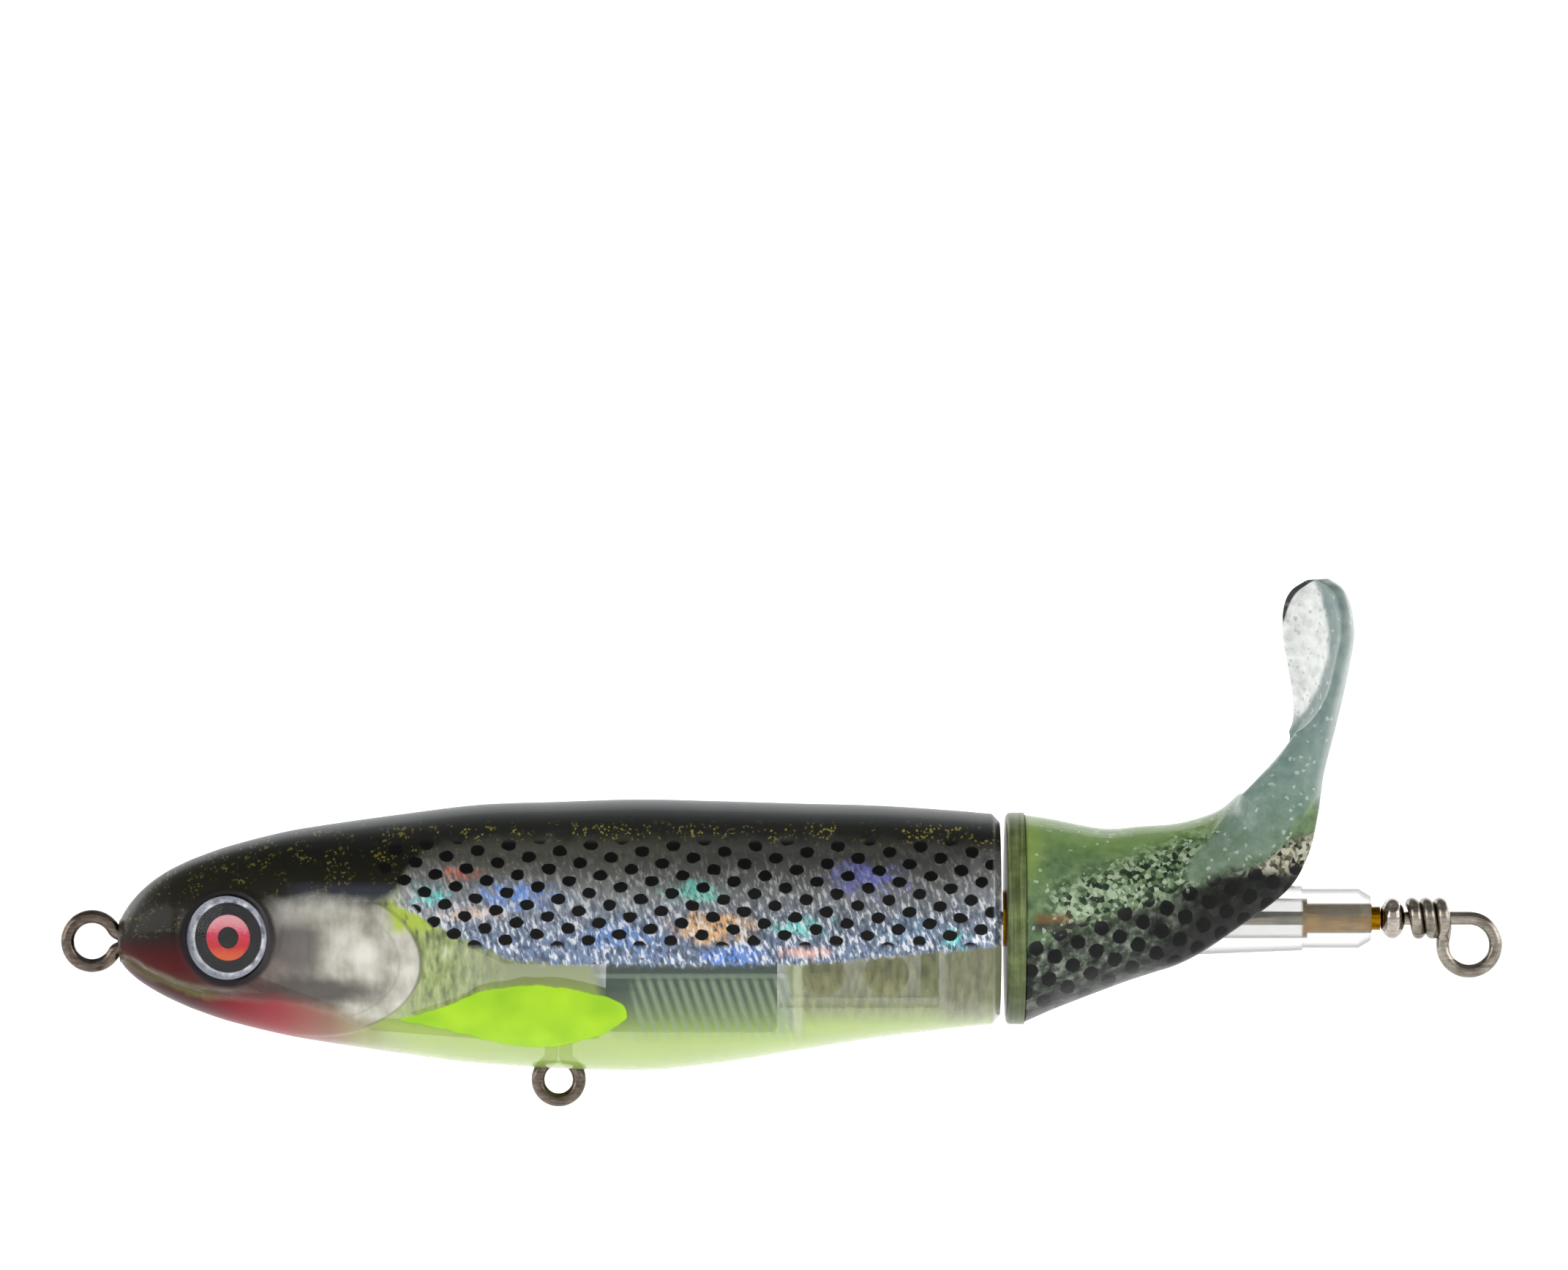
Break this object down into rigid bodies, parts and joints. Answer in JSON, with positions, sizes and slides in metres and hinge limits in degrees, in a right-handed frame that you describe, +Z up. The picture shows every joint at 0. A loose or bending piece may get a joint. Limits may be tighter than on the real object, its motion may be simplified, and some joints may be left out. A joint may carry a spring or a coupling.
{
  "type": "prop-tail topwater fishing lure",
  "caption": "Cigar-shaped hollow floating lure with wire line tie and hook hangers, sealed rattle, and a soft paddle tail that spins on a rear wire shaft.",
  "frame": {"origin": "centre of the line tie, the wire eye at the nose", "axes": "+X from the nose to the tail, along the tail's spin axis; +Z up; the lure's left side is at -Y"},
  "size_m": [0.1266, 0.021, 0.0465],
  "materials": {
    "clear_shell": "clear moulded shell with a translucent paint scheme",
    "foil": "metallised liner film",
    "eye_print": "printed disc",
    "eye_dome": "clear cast resin",
    "wire": "black nickel",
    "ballast": "plain weight",
    "capsule": "clear tube",
    "brass": "turned",
    "collar": "translucent yellow-green",
    "clear_core": "clear",
    "soft_tail": "soft, flecked, mottled green",
    "washer": "low-friction washer",
    "bead": "polished"
  },
  "bodies": {
    "body": {"left_shell": "clear_shell", "right_shell": "clear_shell", "left_foil": "foil", "right_foil": "foil", "left_eye_disc": "eye_print", "right_eye_disc": "eye_print", "left_eye_dome": "eye_dome", "right_eye_dome": "eye_dome", "through_wire": "wire", "shaft_wire": "wire", "belly_ballast": "ballast", "head_ballast": "ballast", "rattle_capsule": "capsule", "capsule_plug": "capsule", "thrust_washer": "washer"},
    "bead": {"thrust_bead": "bead"},
    "tail": {"soft_tail": "soft_tail", "tail_core": "clear_core", "tail_collar": "collar", "front_bushing": "brass", "rear_bushing": "brass"},
    "front_ball": {"front_rattle_ball": "brass"},
    "rear_ball": {"rear_rattle_ball": "brass"}
  },
  "joints": [
    {"name": "tail_end_play", "type": "slide", "parent": "body", "child": "bead", "axis": [1, 0, 0], "range_m": [-0.0003, 0]},
    {"name": "tail_spin", "type": "hinge", "parent": "bead", "child": "tail", "pos_m": [0.08, 0, 0.002], "axis": [1, 0, 0], "continuous": true},
    {"name": "front_ball_roll", "type": "slide", "parent": "body", "child": "front_ball", "axis": [1, 0, 0], "range_m": [-0.00095, 0.00075]},
    {"name": "rear_ball_roll", "type": "slide", "parent": "body", "child": "rear_ball", "axis": [1, 0, 0], "range_m": [-0.00075, 0.00095]}
  ]
}
